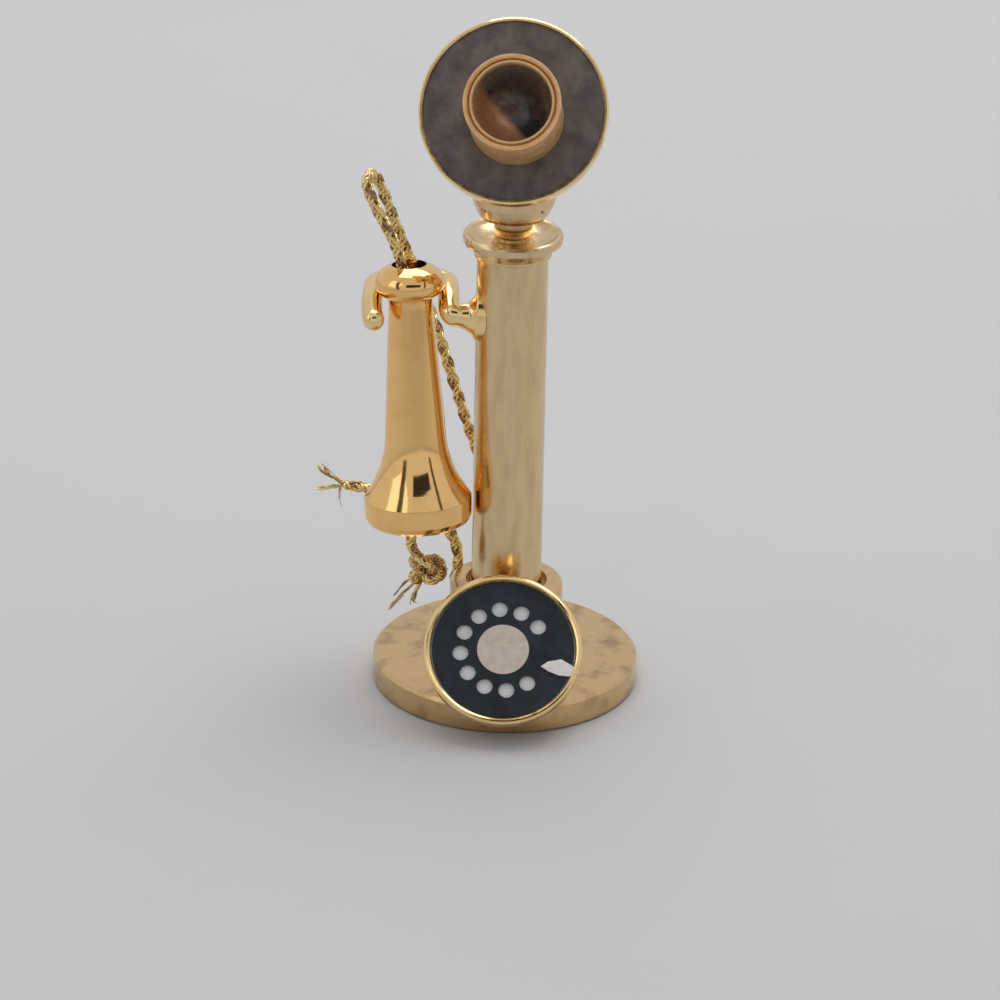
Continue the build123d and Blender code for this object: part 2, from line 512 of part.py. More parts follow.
def cord_tube(label, route):
    """A plain round tube along straight runs joined by tangent arcs."""
    radii = corner_radii(route)
    path = FilletPolyline(*route, radius=radii)
    tube = sweep(Plane(origin=path @ 0, z_dir=path % 0) * Circle(CORD_R), path=path)
    expected = math.pi * CORD_R ** 2 * path.length
    print(label, "length", round(path.length, 2), "volume ratio", round(tube.volume / expected, 4))
    print(label, "radii", [round(radius, 1) for radius in radii])
    return tube


def tuft(start, end, thin, thick):
    """A short cone of loose fibres at a cut end of the cord."""
    along = Vector(*end) - Vector(*start)
    place = Plane(origin=start, z_dir=along).location
    return place * Pos(0, 0, along.length / 2) * Cone(thin, thick, along.length)


parts["cord_lead"] = cord_tube("cord_lead", LEAD_ROUTE)
parts["cord_loop"] = cord_tube("cord_loop", LOOP_ROUTE)
knot = Pos(*KNOT_CENTRE) * scale(Sphere(1.0), by=KNOT_SIZE)
parts["cord_knot"] = knot - parts["cord_lead"]
parts["knot_fray"] = tuft((-12.9, -3.5, 15.9), (-16.4, -3.7, 12.2), 0.35, 0.9) - knot
parts["cord_fray"] = tuft((-23.6, 6.0, 26.8), (-26.8, 6.1, 27.4), 0.5, 1.2) - parts["cord_loop"]

os.makedirs("parts", exist_ok=True)
for name, shape in parts.items():
    export_step(shape, f"parts/{name}.step")
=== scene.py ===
"""Looks of the miniature candlestick telephone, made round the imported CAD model."""

import math
import random

import bmesh
import bpy
from mathutils import Matrix, Vector, noise


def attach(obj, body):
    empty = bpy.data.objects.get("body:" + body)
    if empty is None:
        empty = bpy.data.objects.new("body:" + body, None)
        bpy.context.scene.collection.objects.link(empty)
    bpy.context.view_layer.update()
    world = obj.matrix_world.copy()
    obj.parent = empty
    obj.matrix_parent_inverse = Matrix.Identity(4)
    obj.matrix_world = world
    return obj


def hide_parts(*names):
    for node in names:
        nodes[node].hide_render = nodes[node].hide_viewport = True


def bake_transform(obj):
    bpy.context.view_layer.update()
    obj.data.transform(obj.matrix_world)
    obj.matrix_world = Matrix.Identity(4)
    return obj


MM = 0.001
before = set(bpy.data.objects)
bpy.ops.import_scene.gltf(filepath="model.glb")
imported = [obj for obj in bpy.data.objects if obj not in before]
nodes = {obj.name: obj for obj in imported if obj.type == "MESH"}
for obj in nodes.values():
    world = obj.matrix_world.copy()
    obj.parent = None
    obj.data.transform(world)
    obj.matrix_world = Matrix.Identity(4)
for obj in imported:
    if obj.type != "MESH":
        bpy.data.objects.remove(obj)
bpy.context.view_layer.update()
scene = bpy.context.scene


# ---- Camera ------------------------------------------------------------------------------
CAMERA_PLACE = (0.0001, -0.58118, 0.28997)
CAMERA_ANGLES = (24.30, -0.12, 1.10)     # degrees: down, to the side, and round its own axis
LENS = 161.42                            # mm, in front of a sensor of 36 mm


def make_camera():
    """A long lens in front of the telephone, looking down at it."""
    pitch, yaw, roll = (math.radians(angle) for angle in CAMERA_ANGLES)
    forward = math.cos(pitch)
    ahead = Vector((math.sin(yaw) * forward, math.cos(yaw) * forward, -math.sin(pitch)))
    level = Vector((math.cos(yaw), -math.sin(yaw), 0))
    upright = level.cross(ahead)
    right = level * math.cos(roll) + upright * math.sin(roll)
    up = upright * math.cos(roll) - level * math.sin(roll)
    data = bpy.data.cameras.new("camera")
    data.sensor_width = 36
    data.lens = LENS
    data.clip_start = 0.01
    camera = bpy.data.objects.new("camera", data)
    scene.collection.objects.link(camera)
    turn = Matrix((right, up, -ahead)).transposed().to_4x4()
    camera.matrix_world = Matrix.Translation(CAMERA_PLACE) @ turn
    scene.camera = camera
    return camera


camera = make_camera()


# ---- Mesh tools --------------------------------------------------------------------------
SPLINE_STEPS = 24                # points that the spline gets for each point of its route


class Builder:
    """Collects points and faces, with one number for each point, its tone."""

    def __init__(self):
        self.points = []
        self.faces = []
        self.tones = []

    def tube(self, line, across, upward, widths, heights, tone, sides=6):
        """A closed tube along a line; its section is an ellipse in the across and upward directions."""
        first = len(self.points)
        for spot, side, top, width, height in zip(line, across, upward, widths, heights):
            for index in range(sides):
                angle = 2 * math.pi * index / sides
                point = spot + side * (width * math.cos(angle)) + top * (height * math.sin(angle))
                self.points.append(point)
                self.tones.append(tone)
        for ring in range(len(line) - 1):
            low = first + ring * sides
            high = low + sides
            for index in range(sides):
                after = (index + 1) % sides
                self.faces.append((low + index, low + after, high + after, high + index))
        last = first + (len(line) - 1) * sides
        self.faces.append(tuple(first + index for index in reversed(range(sides))))
        self.faces.append(tuple(last + index for index in range(sides)))

    def piece(self, name, material):
        """The mesh object."""
        mesh = bpy.data.meshes.new(name)
        mesh.from_pydata([tuple(point) for point in self.points], [], self.faces)
        tone = mesh.attributes.new("tone", "FLOAT", "POINT")
        tone.data.foreach_set("value", self.tones)
        mesh.polygons.foreach_set("use_smooth", [True] * len(mesh.polygons))
        mesh.materials.append(material)
        mesh.update()
        made = bpy.data.objects.new(name, mesh)
        scene.collection.objects.link(made)
        return made


def spline_points(route):
    """Points along the smooth NURBS spline that a route of millimetre points controls."""
    data = bpy.data.curves.new("route", "CURVE")
    data.dimensions = "3D"
    spline = data.splines.new("NURBS")
    spline.points.add(len(route) - 1)
    for point, place in zip(spline.points, route):
        point.co = (place[0] * MM, place[1] * MM, place[2] * MM, 1)
    spline.order_u = 3
    spline.use_endpoint_u = True
    data.resolution_u = SPLINE_STEPS
    made = bpy.data.objects.new("route", data)
    scene.collection.objects.link(made)
    mesh = bpy.data.meshes.new_from_object(made)
    points = [vertex.co.copy() for vertex in mesh.vertices]
    bpy.data.objects.remove(made)
    bpy.data.meshes.remove(mesh)
    return points


def even_steps(points, step):
    """The same line with points a fixed distance apart."""
    steps = [points[0].copy()]
    left = step
    for before, after in zip(points, points[1:]):
        along = after - before
        length = along.length
        done = 0.0
        while length - done >= left:
            done += left
            steps.append(before + along * (done / length))
            left = step
        left -= length - done
    return steps


def carried_frames(points, twist=0.0):
    """(tangent, side, top) at each point, carried along the line and then turned round it by a twist."""
    tangents = []
    for index in range(len(points)):
        low, high = max(index - 1, 0), min(index + 1, len(points) - 1)
        tangents.append((points[high] - points[low]).normalized())
    side = tangents[0].orthogonal().normalized()
    frames = []
    for index, tangent in enumerate(tangents):
        side = (side - tangent * side.dot(tangent)).normalized()
        turn = Matrix.Rotation(twist * index / len(points), 3, tangent)
        turned = turn @ side
        frames.append((tangent, turned, tangent.cross(turned)))
    return frames


# ---- Cord: a plait of four strands, each of three twisted metallic yarns ----------------------
CORD_STEP = 0.22 * MM            # between the points of the cord's line
PLAIT_PITCH = 5.4 * MM           # length in which a strand goes once round the cord
STRAND_RING = 0.46 * MM          # from the cord's axis to the middle of a strand
STRAND_WAVE = 0.11 * MM          # how far a strand goes out and in as it passes over and under
YARNS = 3
YARN_R = 0.25 * MM
YARN_FLAT = 0.8                  # height of a yarn as a share of its width
YARN_SIDES = 5
YARN_PITCH = 4.2 * MM
STRAND_HALF_WIDTH = 0.34 * MM    # of the ellipse on which the yarns go round
STRAND_HALF_HEIGHT = 0.13 * MM
WOBBLE = 0.18                    # share by which a strand's width varies
WOBBLE_LENGTH = 1.7 * MM
NOISE_SPAN = 40                  # of the noise, in which each yarn has a place of its own
MIDDLE_TONE = 0.45
STRAND_TONE = 0.35               # how far one strand is lighter and another darker
YARN_TONE = 0.22                 # how far a yarn differs from its strand


def plait(builder, points, seed, pitch=PLAIT_PITCH, size=1.0):
    """Four interlaced strands along a line of evenly spaced points."""
    rng = random.Random(seed)
    frames = carried_frames(points)
    step = (points[1] - points[0]).length
    for direction in (1, -1):
        for strand in range(2):
            strand_line = []
            strand_out = []
            for index, (spot, (_, side, top)) in enumerate(zip(points, frames)):
                along = 2 * math.pi * index * step / pitch
                angle = direction * along + math.pi * strand
                out = side * math.cos(angle) + top * math.sin(angle)
                ring = STRAND_RING + direction * STRAND_WAVE * math.cos(2 * along)
                strand_line.append(spot + out * (ring * size))
                strand_out.append(out)
            strand_frames = carried_frames(strand_line)
            strand_tone = MIDDLE_TONE + STRAND_TONE * direction * (1 - strand)
            for yarn in range(YARNS):
                tone = min(max(strand_tone + rng.uniform(-YARN_TONE, YARN_TONE), 0), 1)
                shift = rng.uniform(0, NOISE_SPAN)
                line, across, upward = [], [], []
                for index, (spot, out) in enumerate(zip(strand_line, strand_out)):
                    tangent = strand_frames[index][0]
                    wide = out.cross(tangent).normalized()
                    turn = 2 * math.pi * (index * step / YARN_PITCH + yarn / YARNS)
                    wave = noise.noise(Vector((shift, index * step / WOBBLE_LENGTH, strand)))
                    wobble = 1 + WOBBLE * wave
                    place = spot + wide * (STRAND_HALF_WIDTH * size * wobble * math.cos(turn))
                    place += out * (STRAND_HALF_HEIGHT * size * math.sin(turn))
                    line.append(place)
                    across.append(wide)
                    upward.append(out)
                widths = [YARN_R * size] * len(line)
                heights = [YARN_FLAT * width for width in widths]
                builder.tube(line, across, upward, widths, heights, tone, sides=YARN_SIDES)


# From the knot up through the receiver, and over the top of the standing loop.
LEAD_ROUTE = [
    (-12.2, -3.5, 19.6), (-13.9, -3.5, 21.6), (-13.4, -3.4, 24.0), (-12.6, -3.1, 26.8),
    (-12.9, -2.6, 31.6), (-13.1, -2.4, 38.5), (-13.8, -1.4, 46.0), (-13.9, -1.0, 53.0),
    (-14.3, 0.0, 58.6), (-15.3, 0.2, 62.9), (-16.6, 0.5, 66.6), (-18.4, 0.9, 69.8),
    (-19.7, 1.1, 72.5), (-20.5, 1.3, 74.6), (-20.1, 2.85, 75.5), (-19.1, 4.15, 74.6),
    (-18.1, 4.2, 72.2), (-17.3, 4.2, 70.0),
]
# Down behind the fork and the post, round the back of the foot and up to the frayed end.
LOOP_ROUTE = [
    (-16.5, 4.2, 67.8), (-15.5, 4.3, 65.2), (-14.8, 5.1, 62.9), (-14.3, 7.3, 61.1),
    (-13.6, 9.3, 58.4), (-12.4, 9.3, 54.8), (-10.7, 8.2, 50.9), (-8.3, 7.4, 43.4),
    (-5.6, 7.4, 34.6), (-2.2, 7.6, 26.0), (1.6, 8.6, 19.0), (3.4, 9.9, 12.2),
    (1.4, 11.8, 7.8), (-2.6, 12.0, 6.1), (-5.6, 11.2, 6.4), (-7.4, 9.3, 8.4),
    (-7.5, 8.1, 11.2), (-6.9, 7.0, 15.0), (-7.7, 6.2, 19.2), (-11.2, 6.2, 23.0),
    (-15.8, 6.4, 25.6), (-20.2, 5.9, 26.3), (-23.6, 6.0, 26.8),
]


# ---- Materials -----------------------------------------------------------------------------
CLOUDY = (0.35, 0.70)            # range of a noise's values that a roughness is spread over


class Shader:
    """A Principled material, with short ways to add the nodes that vary it."""

    def __init__(self, name, **values):
        self.material = bpy.data.materials.new(name)
        self.material.use_nodes = True
        self.tree = self.material.node_tree
        self.shader = self.tree.nodes["Principled BSDF"]
        for socket, value in values.items():
            self.shader.inputs[socket.replace("_", " ")].default_value = value
        self.place = self.tree.nodes.new("ShaderNodeTexCoord").outputs["Object"]

    def link(self, output, target):
        self.tree.links.new(output, target)

    def to(self, socket, output):
        self.link(output, self.shader.inputs[socket])

    def stretched(self, scale):
        """Object coordinates in metres, stretched."""
        node = self.tree.nodes.new("ShaderNodeMapping")
        node.inputs["Scale"].default_value = scale
        self.link(self.place, node.inputs["Vector"])
        return node.outputs["Vector"]

    def noise(self, size, detail=4.0, roughness=0.55, stretch=None, distortion=0.0):
        """Cloudy noise whose features are about size metres across."""
        node = self.tree.nodes.new("ShaderNodeTexNoise")
        node.inputs["Scale"].default_value = 1 / size
        node.inputs["Detail"].default_value = detail
        node.inputs["Roughness"].default_value = roughness
        node.inputs["Distortion"].default_value = distortion
        self.link(self.stretched(stretch) if stretch else self.place, node.inputs["Vector"])
        return node.outputs["Fac"]

    def along(self, origin, direction):
        """Distance from a place along a direction, in metres."""
        node = self.tree.nodes.new("ShaderNodeVectorMath")
        node.operation = "DOT_PRODUCT"
        self.link(self.place, node.inputs[0])
        node.inputs[1].default_value = direction
        shift = self.tree.nodes.new("ShaderNodeMath")
        shift.operation = "SUBTRACT"
        self.link(node.outputs["Value"], shift.inputs[0])
        shift.inputs[1].default_value = origin.dot(direction)
        return shift.outputs["Value"]

    def tone(self):
        """The number that a Builder gives each point."""
        node = self.tree.nodes.new("ShaderNodeAttribute")
        node.attribute_name = "tone"
        return node.outputs["Fac"]

    def spread(self, value, low, high, start=0.0, end=1.0):
        """A value from low..high mapped on start..end, clamped."""
        node = self.tree.nodes.new("ShaderNodeMapRange")
        node.inputs["From Min"].default_value = low
        node.inputs["From Max"].default_value = high
        node.inputs["To Min"].default_value = start
        node.inputs["To Max"].default_value = end
        self.link(value, node.inputs["Value"])
        return node.outputs["Result"]

    def ramp(self, value, *stops):
        """Colours at places between 0 and 1."""
        node = self.tree.nodes.new("ShaderNodeValToRGB")
        elements = node.color_ramp.elements
        while len(elements) < len(stops):
            elements.new(0.5)
        for element, (place, colour) in zip(elements, stops):
            element.position = place
            element.color = (*colour, 1)
        self.link(value, node.inputs["Fac"])
        return node.outputs["Color"]

    def mix(self, share, first, second):
        """Two colours, or colour outputs, mixed by a share."""
        node = self.tree.nodes.new("ShaderNodeMix")
        node.data_type = "RGBA"
        self.link(share, node.inputs["Factor"])
        for socket, colour in ((node.inputs["A"], first), (node.inputs["B"], second)):
            self.fill(node, socket.name, colour)
        return node.outputs[2]

    def fill(self, node, name, colour):
        """A colour, or a link to a colour, in the named colour socket."""
        socket = next(s for s in node.inputs if s.name == name and s.type == "RGBA")
        if isinstance(colour, tuple):
            socket.default_value = (*colour, 1)
        else:
            self.link(colour, socket)

    def bump(self, height, depth, before=None):
        """A bump of a depth in metres, on top of another bump."""
        node = self.tree.nodes.new("ShaderNodeBump")
        node.inputs["Distance"].default_value = depth
        self.link(height, node.inputs["Height"])
        if before is not None:
            self.link(before, node.inputs["Normal"])
        return node.outputs["Normal"]

    def smudged(self, rough, size, **values):
        """Roughness that varies between two values, in smudges of a size."""
        self.to("Roughness", self.spread(self.noise(size, **values), *CLOUDY, *rough))

    def uneven(self, depth, size, **values):
        """Unevenness of a depth in metres, in dents or grains of a size."""
        self.to("Normal", self.bump(self.noise(size, **values), depth))


def gold(
    name, bright, dull, rough=(0.12, 0.28), cloud=2.5 * MM, cover=(0.5, 0.75), streaks=None, dent=8e-6,
):
    """Gold plate: bright, with dull clouds, smudged gloss, fine scratches and a slight unevenness."""
    made = Shader(name, Metallic=1.0)
    clouds = made.noise(cloud, detail=5, roughness=0.6, stretch=streaks)
    share = made.spread(clouds, *cover)
    made.to("Base Color", made.mix(share, bright, dull))
    made.smudged(rough, 1.3 * MM, detail=6, roughness=0.65, stretch=streaks)
    uneven = made.bump(made.noise(3.0 * MM, detail=2), dent)
    scratch = made.noise(0.25 * MM, detail=3, roughness=0.7, stretch=(6, 6, 0.5))
    made.to("Normal", made.bump(scratch, 6e-7, before=uneven))
    return made.material


def plain(name, colour, other, metallic, rough, size=0.8 * MM, depth=2e-6):
    """A surface of one colour that clouds into another, with a grain."""
    made = Shader(name, Metallic=metallic)
    made.to("Base Color", made.mix(made.spread(made.noise(size), 0.4, 0.65), colour, other))
    made.smudged(rough, size * 0.6)
    made.uneven(depth, size * 0.25)
    return made.material


def cord_material():
    """Metallic yarn: bright yellow and pinkish tan threads with dark flecks, that glitter."""
    made = Shader("metallic_yarn", Metallic=0.8)
    threads = made.ramp(
        made.tone(), (0.0, (0.40, 0.24, 0.11)), (0.3, (0.72, 0.48, 0.24)),
        (0.6, (0.93, 0.76, 0.34)), (1.0, (1.0, 0.90, 0.45)),
    )
    flecks = made.spread(made.noise(0.5 * MM, detail=3), 0.60, 0.74)
    made.to("Base Color", made.mix(flecks, threads, (0.20, 0.12, 0.06)))
    made.to("Roughness", made.spread(made.noise(0.4 * MM), 0.35, 0.65, 0.14, 0.34))
    made.uneven(0.8e-5, 0.5 * MM, detail=1)
    return made.material


def face_material():
    """Worn dark lacquer, matt, with brown and grey clouds and pale specks."""
    made = Shader("face_lacquer", Metallic=0.0, Specular_IOR_Level=0.35)
    clouds = made.ramp(
        made.noise(2.6 * MM, detail=6, roughness=0.6), (0.35, (0.085, 0.069, 0.066)),
        (0.5, (0.120, 0.097, 0.091)), (0.68, (0.160, 0.134, 0.126)),
    )
    specks = made.spread(made.noise(0.55 * MM, detail=5, roughness=0.75), 0.66, 0.74)
    made.to("Base Color", made.mix(specks, clouds, (0.17, 0.15, 0.14)))
    made.smudged((0.42, 0.62), 1.2 * MM)
    made.uneven(6e-6, 0.3 * MM, detail=5)
    return made.material


def wheel_material():
    """Glossy blue-black enamel."""
    made = Shader(
        "wheel_enamel", Metallic=0.0, Specular_IOR_Level=0.22, Coat_Weight=0.12, Coat_Roughness=0.10,
    )
    clouds = made.ramp(
        made.noise(4.0 * MM, detail=4, distortion=0.6), (0.35, (0.010, 0.012, 0.016)),
        (0.6, (0.016, 0.022, 0.032)), (0.8, (0.030, 0.042, 0.060)),
    )
    made.to("Base Color", clouds)
    made.smudged((0.22, 0.42), 1.5 * MM, detail=6)
    made.uneven(6e-6, 1.8 * MM, detail=3)
    return made.material


def inner_material(middle, outward, low_left):
    """Inside of the mouthpiece: dark blotches with painted shade, darkest deep in and browner towards
    the opening, and gold at the edge.

    A copper patch lies low on the left. Distances are measured from middle, along both directions.
    """
    made = Shader("mouth_painted_shade", Metallic=0.3)
    clouds = made.ramp(
        made.noise(3.2 * MM, detail=3, roughness=0.5), (0.40, (0.050, 0.047, 0.058)),
        (0.52, (0.095, 0.075, 0.075)), (0.62, (0.26, 0.17, 0.12)), (0.78, (0.42, 0.28, 0.17)),
    )
    # Painted shade: the inside gets darker the deeper it goes into the mouthpiece, and browner towards
    # the opening.
    depth_shade_share = made.spread(made.along(middle, outward), 3.2 * MM, 7.5 * MM, 0.0, 0.65)
    depth_shaded = made.mix(depth_shade_share, clouds, (0.42, 0.31, 0.23))
    patch = made.spread(made.along(middle, low_left), 1.3 * MM, 2.2 * MM, 0.0, 0.9)
    coppered = made.mix(patch, depth_shaded, (0.80, 0.42, 0.22))
    clean = made.spread(made.along(middle, outward), 9.2 * MM, 10.3 * MM)
    made.to("Base Color", made.mix(clean, coppered, (0.80, 0.52, 0.24)))
    made.smudged((0.18, 0.36), 1.0 * MM)
    made.uneven(1.2e-5, 2.0 * MM)
    return made.material


def horn_material():
    """Soft gold of the mouthpiece, which stays warm beside the dark face."""
    made = Shader("horn_gold", Metallic=0.6)
    clouds = made.spread(made.noise(2.5 * MM, detail=4), 0.45, 0.7)
    made.to("Base Color", made.mix(clouds, (0.90, 0.56, 0.26), (0.76, 0.43, 0.17)))
    made.smudged((0.30, 0.45), 1.3 * MM, detail=5)
    made.uneven(8e-6, 3.0 * MM, detail=2)
    return made.material


# The head's own directions, for the patches inside the mouthpiece.
HEAD_TURN = math.radians(-3.9)   # about the post
HEAD_TILT = math.radians(31)     # the face looks this far up
head_right = Vector((math.cos(HEAD_TURN), math.sin(HEAD_TURN), 0))
head_back = Vector((-math.sin(HEAD_TURN), math.cos(HEAD_TURN), 0))
head_outward = head_back * -math.cos(HEAD_TILT) + Vector((0, 0, math.sin(HEAD_TILT)))
head_middle = (head_right * -0.1 + head_back * -3.0 + Vector((0, 0, 87.15))) * MM

RECEIVER_GOLD = gold(
    "receiver_gold", (0.96, 0.60, 0.24), (0.88, 0.51, 0.18), rough=(0.06, 0.14), cloud=5 * MM,
)
POST_GOLD = gold(
    "post_gold", (0.78, 0.59, 0.34), (0.62, 0.44, 0.24), rough=(0.18, 0.32), cloud=1.6 * MM,
    cover=(0.42, 0.8), streaks=(1, 1, 0.22),
)
BASE_GOLD = gold(
    "base_gold", (0.72, 0.50, 0.25), (0.38, 0.22, 0.13), rough=(0.09, 0.22), cloud=4.5 * MM,
)
RIM_GOLD = gold(
    "rim_gold", (0.95, 0.70, 0.34), (0.80, 0.52, 0.22), rough=(0.10, 0.2), cloud=3 * MM,
)
BRASS = gold("plain_brass", (0.80, 0.60, 0.28), (0.62, 0.44, 0.2), rough=(0.25, 0.4))
head_low_left = (head_right.cross(head_outward) - head_right).normalized()
# The inside of the mouthpiece, with painted shade that darkens it deeper in.
MOUTH_SHADED = inner_material(head_middle, head_outward, head_low_left)
HORN = horn_material()
FACE = face_material()
WHEEL = wheel_material()
STEEL = plain("steel", (0.55, 0.54, 0.52), (0.40, 0.39, 0.37), 1.0, (0.25, 0.4))
WHITE = plain("number_white", (0.74, 0.74, 0.74), (0.67, 0.67, 0.67), 0.0, (0.3, 0.45))
CARD = plain(
    "card_cream", (0.64, 0.55, 0.46), (0.53, 0.46, 0.39), 0.0, (0.35, 0.5), size=1.2 * MM,
)
STOP = plain("stop_silver", (0.82, 0.79, 0.76), (0.72, 0.69, 0.66), 0.4, (0.25, 0.4))
FELT = plain(
    "felt", (0.03, 0.05, 0.035), (0.05, 0.07, 0.05), 0.0, (0.9, 1.0), size=0.3 * MM, depth=3e-5,
)
YARN = cord_material()

FINISHES = {
    RECEIVER_GOLD: ["receiver_shell", "receiver_cap", "ear_cap", "ear_plate"],
    POST_GOLD: ["post_tube", "post_cap", "neck_stem", "neck_cup"],
    BASE_GOLD: ["base_shell", "base_collar", "dial_bracket", "dial_housing", "receiver_hook"],
    RIM_GOLD: ["head_rim", "head_shell", "dial_bezel"],
    HORN: ["mouthpiece"],
    MOUTH_SHADED: ["mouthpiece_liner"],
    FACE: ["face_plate"],
    WHEEL: ["finger_wheel"],
    WHITE: ["number_plate"],
    CARD: ["center_card"],
    STOP: ["finger_stop"],
    FELT: ["felt_pad"],
    BRASS: ["base_plate", "tilt_yoke", "head_lug", "dial_bushing", "mouthpiece_screw"],
    STEEL: [
        "base_screws", "tie_rod", "tie_nut", "tie_washer", "hook_nut", "neck_pins", "tilt_pin",
        "friction_washers", "bracket_screws", "return_spring", "lug_screws", "dial_spindle",
        "spindle_clip",
    ],
}
for material, names in FINISHES.items():
    for name in names:
        for slot in nodes[name].material_slots:
            slot.material = material


# ---- Hook: arm and fork in one casting, swelling softly into the post --------------------------
# From the fork's left tip round its back to the post.
HOOK_ROUTE = [
    (-18.8, -6.7, 56.8), (-19.3, -4.4, 57.0), (-19.5, -1.6, 57.4), (-19.5, 2.0, 57.8),
    (-19.2, 5.9, 58.3), (-14.1, 7.0, 58.6), (-9.0, 5.9, 58.7), (-8.8, 1.8, 58.2),
    (-8.8, -1.0, 57.3), (-8.4, -2.2, 56.7), (-7.2, -1.7, 56.4), (-5.4, -1.3, 56.1),
    (-2.0, -1.2, 56.1),
]
HOOK_R = 1.5 * MM
HOOK_TALL = 1.06                 # height of its section as a share of its width
HOOK_STEP = 0.2 * MM
HOOK_SIDES = 40
SWELL_REACH = 0.8 * MM           # from the post, over which the swelling dies away
SWELL_WIDTH = 0.6                # how much it adds at the post, as a share of the radius
SWELL_HEIGHT = 1.35
NOSE_LEAST = 0.01                # keeps the nose's first ring from shrinking to a point
POST_R = 5.0 * MM
CUTTER_HEIGHT = 0.03
CUTTER_PLACE = (0, 0, 0.056)
CUTTER_SEGMENTS = 180


def hook_rod():
    """A rod with a rounded nose, whose section grows tall where it meets the post."""
    line = even_steps(spline_points(HOOK_ROUTE), HOOK_STEP)
    across, upward, widths, heights = [], [], [], []
    for index, (tangent, _, _) in enumerate(carried_frames(line)):
        side = tangent.cross(Vector((0, 0, 1))).normalized()
        across.append(side)
        upward.append(side.cross(tangent))
        short = 1 - min(index * HOOK_STEP / HOOK_R, 1)
        nose = math.sqrt(max(1 - short * short, NOSE_LEAST))
        gap = max(-POST_R - line[index].x, 0)
        swell = math.exp(-gap / SWELL_REACH)
        widths.append(HOOK_R * nose * (1 + SWELL_WIDTH * swell))
        heights.append(HOOK_R * nose * (HOOK_TALL + SWELL_HEIGHT * swell))
    builder = Builder()
    builder.tube(line, across, upward, widths, heights, 0.5, sides=HOOK_SIDES)
    return builder.piece("hook", RIM_GOLD)


def post_cutter():
    """The post's cylinder, which the rod's end is cut with."""
    mesh = bpy.data.meshes.new("cutter")
    cylinder = bmesh.new()
    bmesh.ops.create_cone(
        cylinder, cap_ends=True, segments=CUTTER_SEGMENTS, radius1=POST_R, radius2=POST_R,
        depth=CUTTER_HEIGHT,
    )
    cylinder.to_mesh(mesh)
    cylinder.free()
    cutter = bpy.data.objects.new("cutter", mesh)
    cutter.location = CUTTER_PLACE
    scene.collection.objects.link(cutter)
    return cutter


def make_hook():
    """The rod, cut off at the post's surface."""
    hook = hook_rod()
    cutter = post_cutter()
    cut = hook.modifiers.new("cut", "BOOLEAN")
    cut.operation = "DIFFERENCE"
    cut.solver = "EXACT"
    cut.object = cutter
    bpy.context.view_layer.update()
    graph = bpy.context.evaluated_depsgraph_get()
    hook.data = bpy.data.meshes.new_from_object(hook.evaluated_get(graph))
    hook.modifiers.clear()
    bpy.data.objects.remove(cutter)
    return hook


hook = make_hook()
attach(hook, "stand")
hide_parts("receiver_hook")

# ---- The cord and what is on it --------------------------------------------------------------
cord_line = even_steps(spline_points(LEAD_ROUTE + LOOP_ROUTE), CORD_STEP)
cord_builder = Builder()
plait(cord_builder, cord_line, seed=4)
cord = cord_builder.piece("cord", YARN)
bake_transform(cord)
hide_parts("cord_lead", "cord_loop")

KNOT = Vector((-11.45, -3.5, 18.1)) * MM
KNOT_R = (2.4 * MM, 2.0 * MM, 1.8 * MM)
KNOT_POINTS = 400
KNOT_STEP = 0.2 * MM
KNOT_RING = 0.62                 # of the knot's radii: the ring that its line winds round
KNOT_WINDING = 0.34
KNOT_DEPTH = 0.75


def knot_line():
    """A closed trefoil."""
    points = []
    for index in range(KNOT_POINTS):
        turn = 2 * math.pi * index / (KNOT_POINTS - 1)
        ring = KNOT_RING + KNOT_WINDING * math.cos(3 * turn)
        depth = KNOT_DEPTH * math.sin(3 * turn)
        spot = Vector((ring * math.cos(2 * turn), depth, ring * math.sin(2 * turn)))
        points.append(KNOT + Vector([spot[axis] * KNOT_R[axis] for axis in range(3)]))
    return even_steps(points, KNOT_STEP)


knot_builder = Builder()
plait(knot_builder, knot_line(), seed=9, pitch=4.0 * MM, size=0.95)
knot = knot_builder.piece("knot", YARN)
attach(knot, "receiver")
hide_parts("cord_knot")


FIBRE_STEP = 0.12 * MM
FIBRE_HALF_WIDTH = (0.12, 0.22)  # mm, least and most
FIBRE_HALF_THICK = 0.05 * MM
FIBRE_TAPER = 0.65               # share of its width that a fibre loses towards its end
FIBRE_TWIST = (2, 7)             # radians, least and most
FIBRE_START = 0.18               # mm, how far a fibre starts from its strand's line


def fibre(builder, places, width, seed):
    """A loose ribbon of tinsel through a few millimetre points, narrower at its end."""
    rng = random.Random(seed)
    line = even_steps(spline_points(places), FIBRE_STEP)
    frames = carried_frames(line, twist=rng.uniform(*FIBRE_TWIST))
    count = len(line)
    widths = [width * (1 - FIBRE_TAPER * (index / count) ** 3) for index in range(count)]
    across = [side for _, side, _ in frames]
    upward = [top for _, _, top in frames]
    builder.tube(line, across, upward, widths, [FIBRE_HALF_THICK] * count, rng.random())


def tuft(name, body, node, strands, seed):
    """A bundle of loose fibres; each strand is (points, number of fibres, spread in mm)."""
    rng = random.Random(seed)
    builder = Builder()
    for places, count, spread in strands:
        for _ in range(count):
            moved = []
            for index, place in enumerate(places):
                open_share = spread * index / (len(places) - 1)
                moved.append(tuple(c + rng.uniform(-1, 1) * (FIBRE_START + open_share) for c in place))
            fibre(builder, moved, rng.uniform(*FIBRE_HALF_WIDTH) * MM, rng.random())
    made = builder.piece(name, YARN)
    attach(made, body)
    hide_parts(node)
    return made


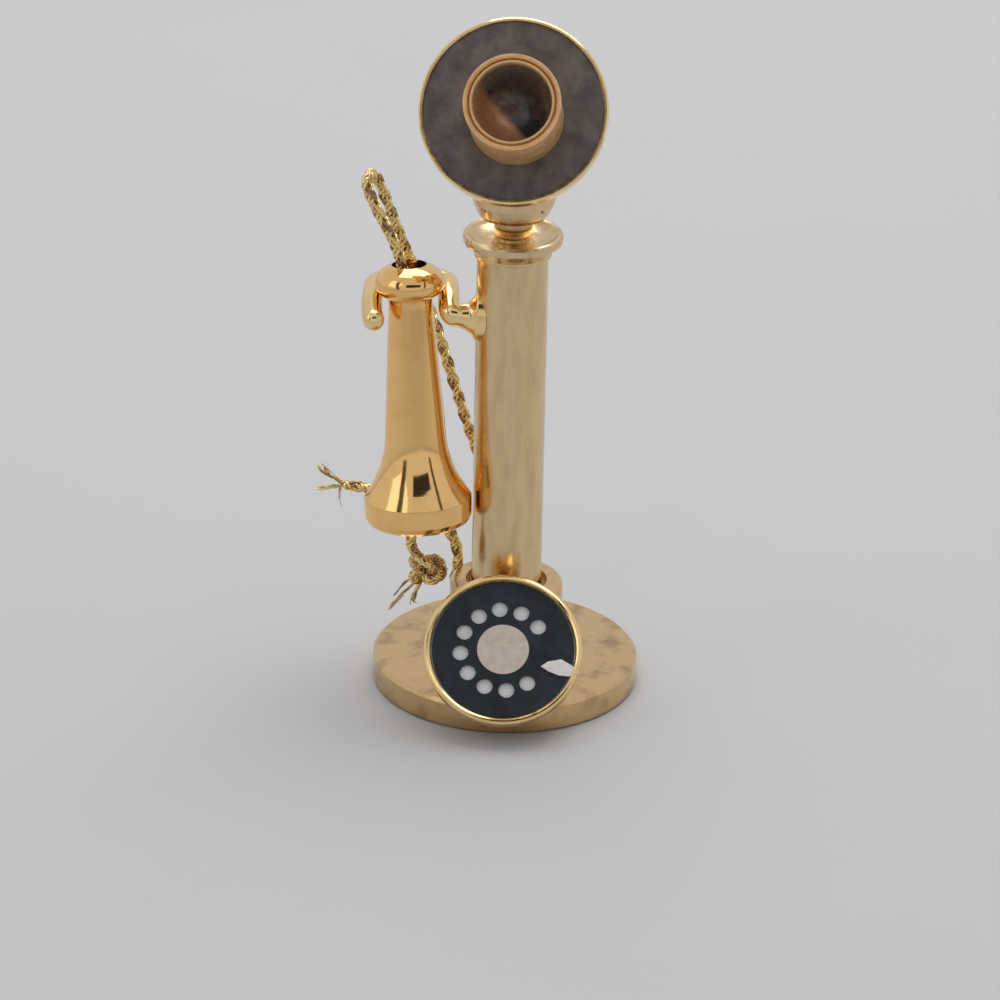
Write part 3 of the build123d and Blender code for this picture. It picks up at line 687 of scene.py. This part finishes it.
knot_fray = tuft("knot_fibres", "receiver", "knot_fray", [
    ([(-12.8, -3.6, 17.0), (-14.2, -3.8, 16.2), (-15.4, -3.8, 15.2), (-15.9, -3.7, 14.2)], 2, 0.2),
    ([(-12.6, -3.6, 16.4), (-14.0, -3.8, 15.2), (-15.4, -3.8, 13.4), (-16.4, -3.7, 11.6)], 4, 0.25),
    ([(-12.2, -3.6, 16.2), (-12.8, -3.9, 15.0), (-13.3, -3.9, 14.0), (-13.2, -3.8, 13.2)], 8, 0.5),
], seed=21)
cord_fray = tuft("cord_fibres", "stand", "cord_fray", [
    ([(-23.2, 6.0, 26.7), (-24.6, 6.0, 27.6), (-26.0, 6.0, 28.6), (-27.0, 6.1, 29.6)], 9, 0.4),
    ([(-23.2, 6.0, 26.7), (-24.6, 6.0, 26.6), (-26.0, 6.0, 26.3), (-27.2, 6.1, 26.2)], 9, 0.45),
    ([(-24.0, 6.0, 26.5), (-24.2, 6.0, 25.6), (-24.3, 6.0, 24.6), (-24.0, 6.0, 23.4)], 2, 0.05),
], seed=33)


# ---- Floor and light -------------------------------------------------------------------------
FLOOR_HALF = 3.0
ROOM_COLOUR = (0.80, 0.80, 0.81, 1)
ROOM_STRENGTH = 0.80
LIGHTS_AIM = Vector((0, 0, 0.04))
CARD_BEHIND = 0.03               # from the camera to the plane of the cards


def quad(name, corners, material):
    """A flat object with four corners."""
    mesh = bpy.data.meshes.new(name)
    mesh.from_pydata(corners, [], [(0, 1, 2, 3)])
    mesh.materials.append(material)
    made = bpy.data.objects.new(name, mesh)
    scene.collection.objects.link(made)
    return made


def rectangle(left, right, low, high):
    """Its corners, in turn."""
    return [(left, low), (right, low), (right, high), (left, high)]


def make_floor():
    """White paper, far past the picture on every side."""
    made = Shader("floor_paper", Roughness=0.9, Specular_IOR_Level=0.2)
    made.to("Base Color", made.mix(made.noise(40 * MM), (0.565, 0.565, 0.57), (0.55, 0.55, 0.555)))
    corners = rectangle(-FLOOR_HALF, FLOOR_HALF, -FLOOR_HALF, FLOOR_HALF)
    floor = quad("floor", [(x, y, 0) for x, y in corners], made.material)


def make_world():
    """A plain grey room."""
    world = bpy.data.worlds.new("room")
    world.use_nodes = True
    background = world.node_tree.nodes["Background"]
    background.inputs["Color"].default_value = ROOM_COLOUR
    background.inputs["Strength"].default_value = ROOM_STRENGTH
    scene.world = world


def area(name, place, size, power):
    """A rectangular light in watts that looks at the telephone."""
    data = bpy.data.lights.new(name, "AREA")
    data.shape = "RECTANGLE"
    data.size, data.size_y = size
    data.energy = power
    light = bpy.data.objects.new(name, data)
    light.location = place
    light.rotation_mode = "QUATERNION"
    light.rotation_quaternion = (LIGHTS_AIM - Vector(place)).to_track_quat("-Z", "Y")
    scene.collection.objects.link(light)


def make_card(name, tone, left, right, low, high):
    """A dark card beside the camera, a little behind it, that only reflections show.

    Its edges are in metres from the camera's axis, in the camera's own directions.
    """
    made = Shader(name, Roughness=0.8)
    dark, pale = (tone,) * 3, (2 * tone,) * 3
    made.to("Base Color", made.mix(made.noise(20 * MM), dark, pale))
    places = [Vector((x, y, CARD_BEHIND)) for x, y in rectangle(left, right, low, high)]
    corners = [tuple(camera.matrix_world @ place) for place in places]
    card = quad(name, corners, made.material)
    card.visible_camera = False


make_floor()
make_world()
make_card("dark_card", 0.012, -0.14, 0.44, 0.02, 0.28)
make_card("left_strip", 0.06, -0.66, -0.44, -0.20, 0.75)
make_card("right_strip", 0.03, 0.66, 0.82, -0.20, 0.75)
area("ceiling", (0.1, 0.32, 0.9), (0.9, 0.7), 4.6)
area("window", (-0.8, -0.5, 0.7), (0.8, 0.8), 1.2)
scene.view_settings.view_transform = "Standard"
